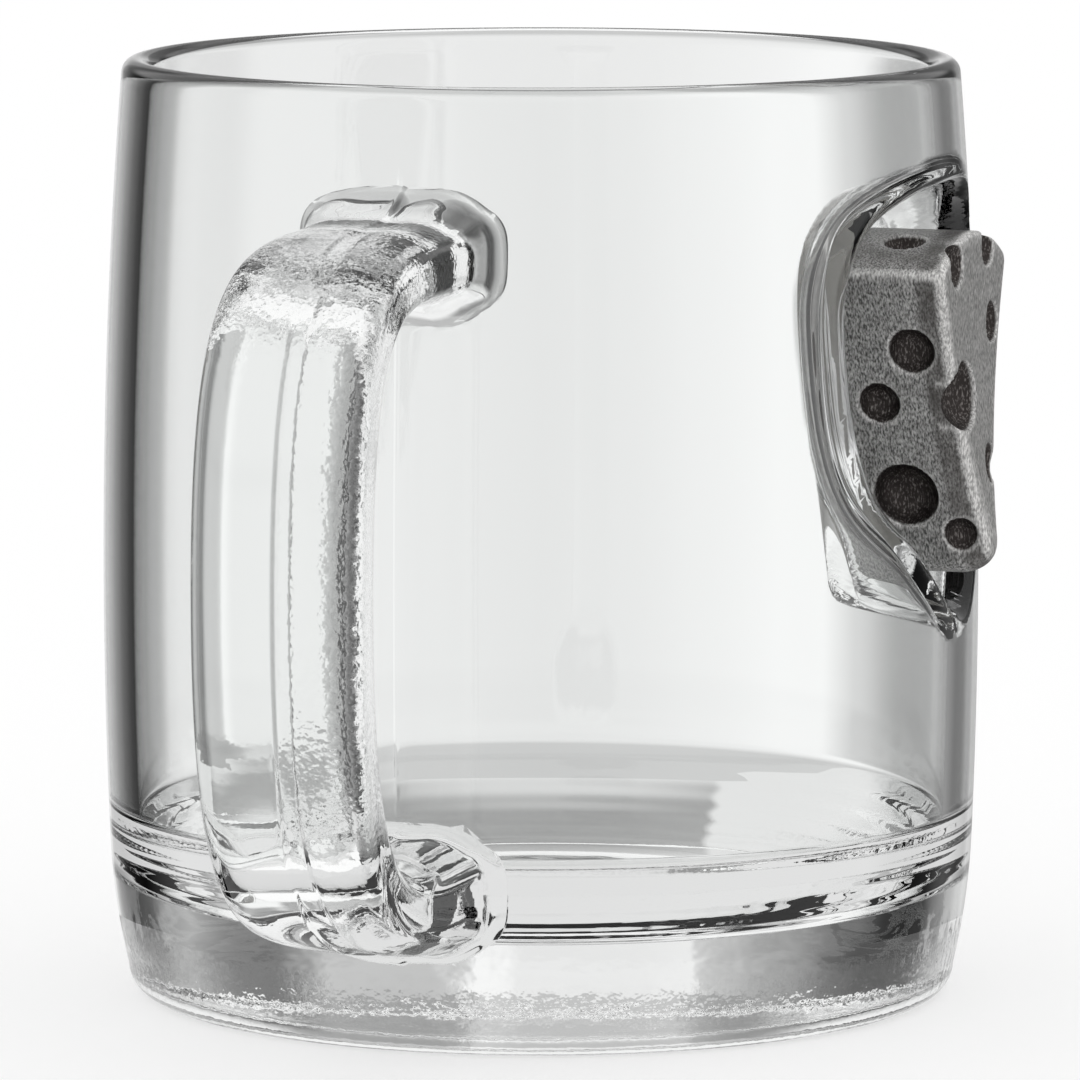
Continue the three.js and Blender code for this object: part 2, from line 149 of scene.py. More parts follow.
def round_about(points, soften):
    """Distance of a closed line from the hollow's middle at each degree of turn, smoothed by a bell curve."""
    turn = np.degrees(np.arctan2(points[:, 1] - MIDDLE_Z, points[:, 0]))
    order = np.argsort(turn)
    reach = np.hypot(points[:, 0], points[:, 1] - MIDDLE_Z)[order]
    radius = np.interp(np.arange(-180, 180), turn[order], reach, period=360)
    bell = np.exp(-((np.arange(-40, 41) / soften) ** 2))
    return np.convolve(np.concatenate([radius[-40:], radius, radius[:40]]), bell / bell.sum(), "valid")


def pressed(x, z, spread):
    """How far the wall has gone over to the hollow's flat floor: 1 behind the casting, 0 from the lip on.

    The share q runs from the seat's outline to the lip along each ray from the middle. Sideways the slope is
    steep at the lip, and up and down it fades out, blended by the square of the ray's sine.
    """
    turn = np.degrees(np.arctan2(z - MIDDLE_Z, x))
    reach = np.hypot(x, z - MIDDLE_Z) - spread
    lines = round_about(wedge_outline(HOLLOW_MARGIN), SEAT_SOFTEN), round_about(LIP, LIP_SOFTEN)
    seat, rim = [np.interp(turn, np.arange(-180, 180), line, period=360) for line in lines]
    q = np.clip((reach - seat) / (rim - seat), 0, 1)
    lip = (1 - q ** 2) ** LIP_STEEP
    fade = (1 - q) ** 3 * (1 + 3 * q + 6 * q ** 2)
    return lip + (fade - lip) * np.sin(np.radians(turn)) ** 2


def skin(name, grid):
    """Closed mesh from a grid of points in mm: columns wrap round, first and last row are single points."""
    rows, columns = grid.shape[:2]
    points = np.concatenate([grid[:1, 0], grid[1:-1].reshape(-1, 3), grid[-1:, 0]])
    spot = 1 + np.arange((rows - 2) * columns).reshape(rows - 2, columns)
    beside = np.roll(spot, -1, axis=1)
    quads = np.stack([spot[:-1], beside[:-1], beside[1:], spot[1:]], axis=2).reshape(-1, 4)
    foot = np.stack([beside[0], spot[0], np.zeros_like(spot[0])], axis=1)
    head = np.stack([spot[-1], beside[-1], np.full_like(spot[0], len(points) - 1)], axis=1)
    mesh = bpy.data.meshes.new(name)
    mesh.from_pydata((points * MM).tolist(), [], quads.tolist() + foot.tolist() + head.tolist())
    mesh.polygons.foreach_set("use_smooth", np.ones(len(mesh.polygons), bool))
    mesh.update()
    piece = bpy.data.objects.new(name, mesh)
    bpy.context.scene.collection.objects.link(piece)
    return piece


def rows_between(low, high, step):
    """Heights from low to high, about one step apart."""
    return np.linspace(low, high, int(np.ceil((high - low) / step)) + 1)


# Heights at which the wall's rows draw close together for the hollow, and the steps between rows.
PLAIN_TO = 34.0
HOLLOW_FROM = 37.0
HOLLOW_TO = 87.0
PLAIN_STEP = 1.5
HOLLOW_STEP = 0.62
RIM_STEP = 1.2
COLUMNS = 220
COLUMN_CROWD = 0.68

edge_x = wall_radius(BOWL_TOP) - WALL - BOWL_EDGE
bowl_edge = arc(edge_x, BOWL_TOP, BOWL_EDGE, 0, BOWL_SLOPE - 90, 12)
BOWL_R = (bowl_edge[-1, 1] - FLOOR_Z) / (1 - np.cos(np.radians(BOWL_SLOPE)))
BOWL_X = bowl_edge[-1, 0] - BOWL_R * np.sin(np.radians(BOWL_SLOPE))


def vessel_profile():
    """Half section from the middle of the underside, over the rim, to the middle of the inner floor.

    Also says for each point whether it is inside. Arcs make the heel, the rim and the bowl, and the inner
    wall is the outer one moved in by the wall's thickness.
    """
    rim_z = HEIGHT - WALL / 2
    heel_x = wall_radius(HEEL_R) - HEEL_R
    foot_x = heel_x - FOOT_W
    under = np.concatenate([
        rows_between(0, foot_x - 1, 0.8),
        rows_between(foot_x - FOOT_EASE, heel_x, 0.35)[:-1],
    ])
    recess = FOOT_H * ease(FOOT_EASE, -FOOT_EASE, under - foot_x)
    crowded = np.concatenate([
        rows_between(PLAIN_TO, HOLLOW_FROM, 1.0)[:-1],
        rows_between(HOLLOW_FROM, HOLLOW_TO, HOLLOW_STEP),
        rows_between(HOLLOW_TO, rim_z, RIM_STEP)[1:-1],
    ])
    outer = np.concatenate([rows_between(HEEL_R, PLAIN_TO, PLAIN_STEP)[1:-1], crowded])
    inner = np.concatenate([rows_between(BOWL_TOP, PLAIN_TO, PLAIN_STEP)[1:-1], crowded])[::-1]
    outside = np.concatenate([
        np.stack([under, recess], axis=1),
        arc(heel_x, HEEL_R, HEEL_R, -90, 0, 16),
        np.stack([wall_radius(outer), outer], axis=1),
        arc(wall_radius(rim_z) - WALL / 2, rim_z, WALL / 2, 0, 180, 21),
    ])
    inside = np.concatenate([
        np.stack([wall_radius(inner) - WALL, inner], axis=1),
        bowl_edge[:-1],
        arc(BOWL_X, FLOOR_Z + BOWL_R, BOWL_R, BOWL_SLOPE - 90, -90, 50),
        np.stack([np.linspace(BOWL_X, 0, 8)[1:], np.full(7, FLOOR_Z)], axis=1),
    ])
    return np.concatenate([outside, inside]), np.arange(len(outside) + len(inside)) >= len(outside)


def pebbled(x, y):
    """A pebbled skin about 1 high: the sum of sine waves that run in chance directions."""
    chance = np.random.default_rng(5)
    way, phase = chance.uniform(0, 2 * np.pi, (2, PEBBLE_WAVES))
    pitch = chance.uniform(*PEBBLE_PITCH, PEBBLE_WAVES)
    waves = [
        np.sin(2 * np.pi * (x * np.cos(w) + y * np.sin(w)) / length + start)
        for w, start, length in zip(way, phase, pitch)
    ]
    return sum(waves) / 4


def vessel_grid():
    """The profile revolved, with its columns crowded on the hollow's side.

    Sine ripples run round the inner bowl and pebbles cover the underside. A bell-shaped mould seam stands
    on the wall in line with the handle. At the hollow the wall goes over to a flat floor by its pressed
    share.
    """
    profile, within = vessel_profile()
    turn = np.linspace(-np.pi, np.pi, COLUMNS + 1)[:-1]
    seam = np.array([-1.0, -0.6, -0.3, 0.3, 0.6, 1.0]) * np.radians(0.5)
    angle = np.sort(np.concatenate([turn - COLUMN_CROWD * np.sin(turn), seam - np.pi / 2]))
    r = np.repeat(profile[:, :1], len(angle), axis=1)
    z = np.repeat(profile[:, 1:], len(angle), axis=1)
    inside = within[:, None]

    out = np.maximum(0, np.arctan2(r - BOWL_X, FLOOR_Z + BOWL_R - z)) * inside * (z < BOWL_TOP)
    share = out / np.radians(BOWL_SLOPE)
    swell = RIPPLE * ease(0, 0.5, share) * ease(1, 0.9, share) * (0.7 + 0.3 * np.sin(2 * angle + 9 * share))
    ripple = swell * np.sin(2 * np.pi * BOWL_R * out / RIPPLE_PITCH)
    r, z = r - ripple * np.sin(out), z + ripple * np.cos(out)

    x, y = r * np.sin(angle), -r * np.cos(angle)
    on_base = (~inside & (z < 1)) * ease(3, 16, r) * ease(PEBBLED_TO, PEBBLED_TO - 2, r)
    z = z + PEBBLE_H * pebbled(x, y) * on_base

    below_rim = ease(HEIGHT - 2 * WALL, HEIGHT - 4 * WALL, z)
    on_wall = ~inside * (x < 0) * ease(SEAM_FROM, SEAM_FROM + 3, z) * below_rim
    seam_h = SEAM_H * (1 + SEAM_SWELL * ease(*SEAM_SWELL_Z, z))
    x = x - on_wall * seam_h * np.exp(-(y / SEAM_W) ** 2)

    spread = np.where(within, HOLLOW_SPREAD, 0)[:, None]
    floor = np.where(within, PANEL_Y + HOLLOW_GLASS, PANEL_Y)[:, None]
    press = np.where((y < 0) & (z > BOWL_TOP), pressed(x, z, spread), 0)
    return np.stack([x, y + (floor - y) * press, z], axis=2)


vessel = skin("vessel", vessel_grid())

# Handle. A strap of pressed glass, bent while hot and stuck to the wall at two spreading, melted pads.
# One half of it is flat and worn smooth, the other is fuller, with a rib and the orange peel of a mould.
# The mould's parting line runs along its outer and inner face. Vessel and handle are one piece of glass.
HANDLE_TOP_Z = 78.8
GRIP_Z = 49.0
HANDLE_LOW_Z = 16.5
FINGER_GAP = 28.1
TOP_ARM = 20.0
TOP_BOW = 32.0
LOW_BOW = 35.0
LOW_ARM = 16.5
LOW_DIP = 1.2
STRAP_W = 17.3
STRAP_T = 7.8
# Power of the section's rounding, and how much thinner it gets towards its edge.
FLAT_HALF = (0.5, 0.06)
FULL_HALF = (0.55, 0.0)
RIB_AT = 0.445
RIB_W = 0.35
RIB_DIP = 0.13
TOP_PAD = (18.8, 11.4)
TOP_PAD_RUN = 3.5
LOW_PAD = (18.6, 11.4)
LOW_PAD_RUN = 13.0
TOP_FILLET = 2.2
LOW_FILLET = 2.6
FUSE_SINK = 2.6
MELT_END = 0.92
STRAP_SEAM_H = 0.03
STRAP_SEAM_W = 0.25
CREASE = 50.0


def bow(start, start_arm, end_arm, end):
    """Cubic Bezier curve through two ends, drawn out towards two arms."""
    t = np.linspace(0, 1, 400)[:, None]
    ends = (1 - t) ** 3 * start + t ** 3 * end
    return ends + 3 * (1 - t) ** 2 * t * start_arm + 3 * (1 - t) * t ** 2 * end_arm


def handle_path():
    """Middle line of the strap out from the axis and in height, two bows, with rows crowded at both roots."""
    root = wall_radius(GRIP_Z)
    grip = root + FINGER_GAP + STRAP_T / 2
    top, mid, low = np.array([[root, HANDLE_TOP_Z], [grip, GRIP_Z], [root, HANDLE_LOW_Z]])
    line = np.concatenate([
        [top - [FUSE_SINK, 0]],
        bow(top, top + [TOP_ARM, 0], mid + [0, TOP_BOW], mid)[:-1],
        bow(mid, mid - [0, LOW_BOW], low + [LOW_ARM, LOW_DIP], low),
        [low - [FUSE_SINK, 0]],
    ])
    run = np.concatenate([[0], np.cumsum(np.hypot(*np.diff(line, axis=0).T))])
    root_run = FUSE_SINK + 3 * LOW_FILLET
    near = np.linspace(0, root_run, 40)
    s = np.concatenate([near, rows_between(root_run, run[-1] - root_run, 1.1)[1:-1], run[-1] - near[::-1]])
    return np.interp(s, run, line[:, 0]), np.interp(s, run, line[:, 1])


def handle_grid():
    """A section carried along the path: powers of sine and cosine, one power for each half.

    A parabola on the fuller half leaves a rib with a groove beside it, and a bell-shaped seam stands on both
    faces. Bell curves widen the section into the pads, and quarter rounds melt them into the wall.
    """
    px, pz = handle_path()
    tx, tz = np.gradient(px), np.gradient(pz)
    length = np.hypot(tx, tz)
    nx, nz = (-tz / length)[:, None], (tx / length)[:, None]
    upper = pz > GRIP_Z
    clear = np.maximum(0, px - wall_radius(pz))
    spread = np.exp(-((clear / np.where(upper, TOP_PAD_RUN, LOW_PAD_RUN)) ** 2))
    width = STRAP_W + (np.where(upper, TOP_PAD[0], LOW_PAD[0]) - STRAP_W) * spread
    thick = STRAP_T + (np.where(upper, TOP_PAD[1], LOW_PAD[1]) - STRAP_T) * spread

    beside_seam = np.array([0.4, 0.8, 1.2, 1.8, 2.6]) * STRAP_SEAM_W * 2 / STRAP_W
    even = np.linspace(0, np.pi / 2, 20)[:-1]
    flat, full = [
        np.sort(np.concatenate([even, np.arccos(beside_seam ** (1 / half[0]))]))
        for half in (FLAT_HALF, FULL_HALF)
    ]
    b = np.concatenate([
        flat, [np.pi / 2], np.pi - full[:0:-1],
        np.pi + full, [1.5 * np.pi], 2 * np.pi - flat[:0:-1],
    ])
    square, fall = np.where(np.cos(b) > 0, np.reshape(FLAT_HALF, (2, 1)), np.reshape(FULL_HALF, (2, 1)))
    cw = np.sign(np.cos(b)) * np.abs(np.cos(b)) ** square
    rib = 1 - RIB_DIP * np.minimum(1, ((cw + RIB_AT) / RIB_W) ** 2) * ease(0, -0.2, cw)
    ct = np.sign(np.sin(b)) * np.abs(np.sin(b)) ** square * (1 - fall * np.abs(cw)) * rib
    y = width[:, None] / 2 * cw
    out = thick[:, None] / 2 * ct
    out += np.sign(ct) * STRAP_SEAM_H * np.exp(-(y / STRAP_SEAM_W) ** 2)

    x, z = px[:, None] + nx * out, pz[:, None] + nz * out
    fillet = np.where(upper, TOP_FILLET, LOW_FILLET)[:, None]
    near = MELT_END * (1 - np.clip((np.hypot(x, y) - wall_radius(z)) / fillet, 0, 1))
    melt = 1 + fillet * (1 - np.sqrt(1 - near ** 2)) / np.hypot(y, out)
    x, z = px[:, None] + nx * out * melt, pz[:, None] + nz * out * melt
    rings = np.stack([-x, y * melt, z], axis=2)
    hub = np.repeat(rings.mean(axis=1, keepdims=True), len(b), axis=1)
    return np.concatenate([hub[:1], rings, hub[-1:]])


strap = skin("strap", handle_grid())


def outward(piece):
    """Turns the faces of a closed piece outward, by the sign of its volume."""
    mesh = piece.data
    mesh.calc_loop_triangles()
    corners = np.empty(len(mesh.loop_triangles) * 3, np.int32)
    mesh.loop_triangles.foreach_get("vertices", corners)
    points = np.empty(len(mesh.vertices) * 3)
    mesh.vertices.foreach_get("co", points)
    a, b, c = np.moveaxis(points.reshape(-1, 3)[corners.reshape(-1, 3)], 1, 0)
    if np.einsum("ij,ij->i", a, np.cross(b, c)).sum() < 0:
        mesh.flip_normals()


def fused(name, base, other):
    """The union of two closed pieces as one mesh, smooth but for its steep creases; the two pieces go."""
    for piece in (base, other):
        outward(piece)
    join = base.modifiers.new("join", "BOOLEAN")
    join.operation = "UNION"
    join.solver = "MANIFOLD"
    join.object = other
    evaluated = base.evaluated_get(bpy.context.evaluated_depsgraph_get())
    mesh = bpy.data.meshes.new_from_object(evaluated)
    mesh.name = name
    mesh.materials.clear()
    mesh.polygons.foreach_set("use_smooth", np.ones(len(mesh.polygons), bool))
    mesh.set_sharp_from_angle(angle=np.radians(CREASE))
    piece = bpy.data.objects.new(name, mesh)
    bpy.context.scene.collection.objects.link(piece)
    for part in (base, other):
        bpy.data.objects.remove(part)
    return piece


def new_material(name):
    """A node material with its tree and its shader."""
    material = bpy.data.materials.new(name)
    material.use_nodes = True
    return material, material.node_tree, material.node_tree.nodes["Principled BSDF"]


def feed(tree, made, values):
    """Feeds a node's inputs, by name or place, with other nodes' outputs or with plain values."""
    for key, value in values.items():
        if isinstance(value, bpy.types.NodeSocket):
            tree.links.new(value, made.inputs[key])
        else:
            made.inputs[key].default_value = value
    return made


def node(tree, kind, values, **settings):
    """Adds a node, sets its properties and feeds its inputs."""
    made = tree.nodes.new(kind)
    for key, value in settings.items():
        setattr(made, key, value)
    return feed(tree, made, values)


def own_place(tree):
    """Place of a point in its piece's own frame."""
    return node(tree, "ShaderNodeTexCoord", {}).outputs["Object"]


def span(tree, value, low, high, at_low=0.0, at_high=1.0, kind="SMOOTHSTEP"):
    """Goes from at_low to at_high while a value goes from low to high, smoothly or in a straight line."""
    values = {0: value, 1: low, 2: high, 3: at_low, 4: at_high}
    return node(tree, "ShaderNodeMapRange", values, interpolation_type=kind).outputs["Result"]


def reckon(tree, operation, *terms):
    """One arithmetic step on other nodes' outputs and plain numbers."""
    return node(tree, "ShaderNodeMath", dict(enumerate(terms)), operation=operation).outputs[0]


def measured(tree, operation, *terms):
    """One step of vector arithmetic that gives a length, or a share along a direction."""
    return node(tree, "ShaderNodeVectorMath", dict(enumerate(terms)), operation=operation).outputs["Value"]


def between(tree, value, limits, at_low=0.0):
    """Smooth step of a length between two limits in mm, from at_low to 1."""
    return span(tree, value, limits[0] * MM, limits[1] * MM, at_low)


def flecks(tree, place, scale, detail):
    """Noise over a piece's own coordinates."""
    values = {"Vector": place, "Scale": scale, "Detail": detail}
    return node(tree, "ShaderNodeTexNoise", values).outputs["Fac"]


PEEL_H = 0.05
PEEL_SCALE = 1500.0
PEEL_X = (-46.0, -49.0)
PEEL_GRIP_Z = (22.0, 32.0)
PEEL_BENDS_Z = (68.0, 73.0)
PEEL_HALF_Y = (0.0, -1.5)
PEEL_AT_LOW_PAD = 0.15
PEEL_ON_WORN_HALF = 0.06
HEEL_SKIN_H = 0.05
STIPPLE_SCALE = 800.0
HEEL_BAND_Z = (8.4, 5.4)
HEEL_BAND_R = (33.0, 34.5)
KNURLS = 160.0
KNURL_SHARE = 0.08


def glass_material():
    """Clear glass with two skins, as bump, each noise times smooth steps of place.

    Orange peel lies on the strap's fuller half and upper bend. The heel's band has stipple noise with a
    weak sine of the turn about the axis for its knurls.
    """
    material, tree, shader = new_material("clear_glass")
    place = own_place(tree)
    x, y, z = node(tree, "ShaderNodeSeparateXYZ", {0: place}).outputs

    grip = between(tree, z, PEEL_GRIP_Z, PEEL_AT_LOW_PAD)
    on_grip = reckon(tree, "MULTIPLY", between(tree, x, PEEL_X), grip)
    fuller_half = between(tree, y, PEEL_HALF_Y, PEEL_ON_WORN_HALF)
    rough_parts = reckon(tree, "MAXIMUM", fuller_half, between(tree, z, PEEL_BENDS_Z))
    strap_skin = node(tree, "ShaderNodeBump", {
        "Strength": reckon(tree, "MULTIPLY", on_grip, rough_parts),
        "Distance": PEEL_H * MM,
        "Height": flecks(tree, place, PEEL_SCALE, 1.0),
    })

    level = node(tree, "ShaderNodeVectorMath", {0: place, 1: (1, 1, 0)}, operation="MULTIPLY")
    from_axis = measured(tree, "LENGTH", level.outputs["Vector"])
    on_band = reckon(tree, "MULTIPLY", between(tree, z, HEEL_BAND_Z), between(tree, from_axis, HEEL_BAND_R))
    about = reckon(tree, "ARCTAN2", y, x)
    knurl = reckon(tree, "SINE", reckon(tree, "MULTIPLY", about, KNURLS))
    stipple = flecks(tree, place, STIPPLE_SCALE, 2.0)
    heel_skin = node(tree, "ShaderNodeBump", {
        "Strength": on_band,
        "Distance": HEEL_SKIN_H * MM,
        "Height": reckon(tree, "MULTIPLY_ADD", knurl, KNURL_SHARE, stipple),
        "Normal": strap_skin.outputs["Normal"],
    })
    feed(tree, shader, {
        "Base Color": (0.985, 0.992, 0.988, 1),
        "Roughness": 0.0,
        "IOR": 1.5,
        "Transmission Weight": 1.0,
        "Normal": heel_skin.outputs["Normal"],
    })
    return material


mug_glass = fused("mug_glass", vessel, strap)
mug_glass.data.materials.append(glass_material())
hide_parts("glass_body", "handle")
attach(mug_glass, "root")

# Casting. A wedge of holed cheese in a pewter-like metal, cast in one piece with round dimples.
# It was darkened all over and then rubbed, so the holes stay black and the edges and the face shine. A
# painted highlight lies along its two ridges and round each hole's rim, and painted shade lies beside the
# ridges and in a margin behind the face.
# Its flat back is bonded to the hollow's floor.
WEDGE_BACK = -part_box("cheese_insert")[1][1] / MM
WEDGE_T = 11.7
FACE_LEAN = 3.1
FACE_SWEEP = 2.6
NOSE_RUN = 4.5
EDGE_BREAK = 0.7
DIMPLE_DEPTH = 0.42
DIMPLE_LIP = 0.18
# Width and strength of the rubbing and painted highlight round each hole's rim.
DIMPLE_RIM_W = 0.22
DIMPLE_RUB_AND_HIGHLIGHT = 0.6
FACE_RUB = 0.5
FACE_EDGE_RUB = 0.4
# How much darker the whole rind is, and the strength of that and of the painted shade beside the ridges.
RIND_DARKENING = 0.5
RIND_DARK_AND_SHADE = 0.8
# Margin of painted shade on the flanks behind the face: where it fades in and out, in mm behind the face.
SHADE_MARGIN_BACK = (3.6, 2.6)
SHADE_MARGIN_FRONT = (0.9, 1.4)
# Places along the outline of the two ridges between the flanks and the rind, with the spread of the rubbing
# and painted highlight along them and of the painted shade beside them, all counted in points.
RIDGES = (139, 225)
RIDGE_HIGHLIGHT_W = 4
RIDGE_SHADE_W = 6
RIDGE_SHADE_OFF = 14


def front_depth(z):
    """Distance of the casting's face from the mug's axis at height z: it sweeps out towards the tip."""
    down = np.maximum(0, CREST_Z - z) / (CREST_Z - TIP_Z)
    return WEDGE_BACK + WEDGE_T + FACE_LEAN * down ** FACE_SWEEP


def nose_share(behind):
    """How far the tip is lifted at a distance behind the face: a quarter round over the nose run."""
    return 1 - np.sqrt(1 - (1 - min(1, behind / NOSE_RUN)) ** 2)


def wedge_grid():
    """Outlines lofted from the back to the face with quarter-round edges, and drawn in to the middle of both.

    Each point also gets its rubbing, high on edges and face, with a painted highlight along the ridges, and
    its darkening: darker over the rind, and painted shade beside the ridges and in a margin behind the face.
    """
    middle = np.array([0.0, MIDDLE_Z])
    rows, wear_and_highlight, darkening_and_shade = [], [], []
    spot = np.arange(len(wedge_outline(0)))
    # A painted highlight, with rubbing, along the two ridges between the flanks and the rind.
    ridge_wear_and_highlight = sum(np.exp(-((spot - at) / RIDGE_HIGHLIGHT_W) ** 2) for at in RIDGES)
    # Darker over the whole rind, and painted shade in bands just beside the ridges; the highlight is kept
    # clear of both.
    rind = RIND_DARKENING * ((spot > RIDGES[0]) & (spot < RIDGES[1]))
    beside = RIDGES[0] + RIDGE_SHADE_OFF, RIDGES[1] - RIDGE_SHADE_OFF
    ridge_shade = sum(np.exp(-((spot - at) / RIDGE_SHADE_W) ** 2) for at in beside)
    rind_dark_and_ridge_shade = RIND_DARK_AND_SHADE * np.maximum(rind, ridge_shade)

    def add(outline, depth, rub_and_highlight, dark_and_shade=0.0):
        """One more outline at a distance from the mug's axis, with its rubbing and painted highlight, and its
        darkening and painted shade.
        """
        rows.append(np.stack([outline[:, 0], -(depth + 0 * outline[:, 1]), outline[:, 1]], axis=1))
        wear_and_highlight.append(np.maximum(rub_and_highlight, ridge_wear_and_highlight))
        darkening_and_shade.append(np.maximum(dark_and_shade, rind_dark_and_ridge_shade) * (1 - ridge_wear_and_highlight))

    for share in np.linspace(0, 1, 9):
        add(middle + (wedge_outline(-EDGE_BREAK) - middle) * share, WEDGE_BACK, 0)
    for a in np.radians(np.linspace(0, 90, 7))[1:]:
        add(wedge_outline(-EDGE_BREAK * (1 - np.sin(a))), WEDGE_BACK + EDGE_BREAK * (1 - np.cos(a)), 0)
    whole = wedge_outline(0)
    start = WEDGE_BACK + EDGE_BREAK
    for share in np.linspace(0, 1, 32)[1:]:
        add(whole, start + (front_depth(whole[:, 1]) - NOSE_RUN - start) * share, 0)
    for behind in np.linspace(NOSE_RUN, EDGE_BREAK, 24)[1:]:
        outline = wedge_outline(0, nose_share(behind))
        rub_and_highlight = ease(1.8 * EDGE_BREAK, 0.8 * EDGE_BREAK, behind)
        # A margin of painted shade on the flanks a little behind the face.
        dark_and_shade = ease(*SHADE_MARGIN_BACK, behind) * ease(*SHADE_MARGIN_FRONT, behind)
        add(outline, front_depth(outline[:, 1]) - behind, rub_and_highlight, dark_and_shade)
    for a in np.radians(np.linspace(0, 90, 8))[1:]:
        behind = EDGE_BREAK * (1 - np.sin(a))
        outline = wedge_outline(-EDGE_BREAK * (1 - np.cos(a)), nose_share(behind))
        add(outline, front_depth(outline[:, 1]) - behind, 1)
    face = wedge_outline(-EDGE_BREAK, 1)
    for share in np.linspace(1, 0, 52)[1:]:
        outline = middle + (face - middle) * share
        rows.append(np.stack([outline[:, 0], -front_depth(outline[:, 1]), outline[:, 1]], axis=1))
        wear_and_highlight.append(np.full(len(outline), FACE_RUB + FACE_EDGE_RUB * ease(0.95, 1, share)))
        darkening_and_shade.append(np.zeros(len(outline)))
    return np.stack(rows), np.stack(wear_and_highlight), np.stack(darkening_and_shade)


def flank_hole(side, from_axis, z, width):
    """Dimple in a flank, given by its distance from the mug's axis and its height."""
    tip_round, tip_z, turn = wedge_tip(0)
    nx, nz = np.cos(np.radians(turn)), np.sin(np.radians(turn))
    x = tip_round * nx - (z - tip_z - tip_round * nz) * nz / nx
    return np.array([side * x, -from_axis, z]), np.array([side * nx, 0, nz]), width


def face_hole(x, z, width):
    """Dimple in the face, given by its place across and its height."""
    return np.array([x, -front_depth(z), z]), np.array([0, -1.0, 0]), width


def rind_hole(x, from_axis, width):
    """Dimple in the rind, given by its place across and its distance from the mug's axis."""
    out = np.array([x, 0, np.sqrt(RIND_R ** 2 - x ** 2)]) / RIND_R
    return np.array([0, -from_axis, RIND_Z]) + RIND_R * out, out, width


holes = [
    flank_hole(-1, 41.7, 67.5, 4.8),
    flank_hole(-1, 37.9, 62.0, 4.3),
    flank_hole(-1, 39.8, 52.5, 6.8),
    flank_hole(-1, 45.2, 48.6, 3.6),
    flank_hole(1, 39.2, 68.2, 5.4),
    flank_hole(1, 43.0, 61.0, 4.0),
    flank_hole(1, 39.8, 54.2, 4.6),
    face_hole(-4.5, 62.9, 7.2),
    face_hole(6.0, 69.3, 4.3),
    face_hole(2.4, 55.4, 4.2),
    face_hole(-6.4, 76.0, 4.6),
    face_hole(4.8, 77.2, 4.6),
    rind_hole(-5.2, 39.9, 4.3),
    rind_hole(5.1, 38.6, 3.6),
]


def dimpled(grid):
    """Pushes points that a hole's ball covers on to the ball, along the hole's axis, with a rounded lip.

    Also gives the share of each hole's depth, and a bell curve round its edge where the lip is rubbed and a
    highlight is painted.
    """
    pits, rim_rub_and_highlight = np.zeros(grid.shape[:2]), np.zeros(grid.shape[:2])
    for foot, out, width in holes:
        depth = DIMPLE_DEPTH * width
        radius = (width ** 2 / 4 + depth ** 2) / (2 * depth)
        q = grid - (foot + out * (radius - depth))
        along = q @ out
        aside = np.sqrt(np.maximum(0, (q ** 2).sum(axis=2) - along ** 2))
        reach = np.sqrt(np.maximum(0, radius ** 2 - aside ** 2)) - np.maximum(0, aside - radius)
        push = along + reach
        push = np.where(aside < 2 * radius, (push + np.sqrt(push ** 2 + DIMPLE_LIP ** 2)) / 2, 0)
        push = np.where(along > -radius, push, 0) * np.clip((2 * radius - aside) / radius, 0, 1)
        grid = grid - push[:, :, None] * out
        pits = np.maximum(pits, np.clip(push / depth, 0, 1))
        rim_rub_and_highlight = np.maximum(rim_rub_and_highlight, np.exp(-((aside - width / 2) / DIMPLE_RIM_W) ** 2) * (along > -depth))
    return grid, pits, rim_rub_and_highlight


casting_grid, wear_and_highlight, darkening_and_shade = wedge_grid()
casting_grid, pits, rim_rub_and_highlight = dimpled(casting_grid)
# Rubbing and a painted highlight round each hole's rim go in with the rubbed edges.
wear_and_highlight = np.maximum(wear_and_highlight, DIMPLE_RUB_AND_HIGHLIGHT * rim_rub_and_highlight)
casting = skin("casting", casting_grid)
outward(casting)
for name, values in (("pit", pits), ("wear_and_highlight", wear_and_highlight), ("darkening_and_shade", darkening_and_shade)):
    layer = casting.data.attributes.new(name, "FLOAT", "POINT")
    layer.data.foreach_set("value", np.concatenate([values[:1, 0], values[1:-1].ravel(), values[-1:, 0]]))

GRAIN_SCALE = 5600.0
GRAIN_H = 0.05
CLOUD_SCALE = 420.0
CLOUD_SHARE = 0.3
DARK_AND_SHADE_SHARE = 0.6
PIT_EDGE = (0.06, 0.22)
# Colours that each finish takes at two levels of the grain.
PATINA = ((0.36, (0.1, 0.099, 0.097, 1)), (0.66, (0.6, 0.595, 0.585, 1)))
RUBBED = ((0.36, (0.34, 0.335, 0.33, 1)), (0.64, (0.82, 0.81, 0.795, 1)))
PIT_SPECKS = ((0.52, (0.038, 0.032, 0.03, 1)), (0.75, (0.26, 0.24, 0.23, 1)))
# Dark colour for the clouds, the darker rind and the painted shade.
GRIME_AND_SHADE = (0.075, 0.07, 0.066, 1)


def toned(tree, value, stops):
    """Colour between two stops, in a straight line, while a value goes from the one to the other."""
    ramp = node(tree, "ShaderNodeValToRGB", {"Fac": value})
    for stop, (position, colour) in zip(ramp.color_ramp.elements, stops):
        stop.position = position
        stop.color = colour
    return ramp.outputs["Color"]


def over(tree, share, below, above):
    """One colour laid over another by a share."""
    return node(tree, "ShaderNodeMix", {0: share, 6: below, 7: above}, data_type="RGBA").outputs[2]


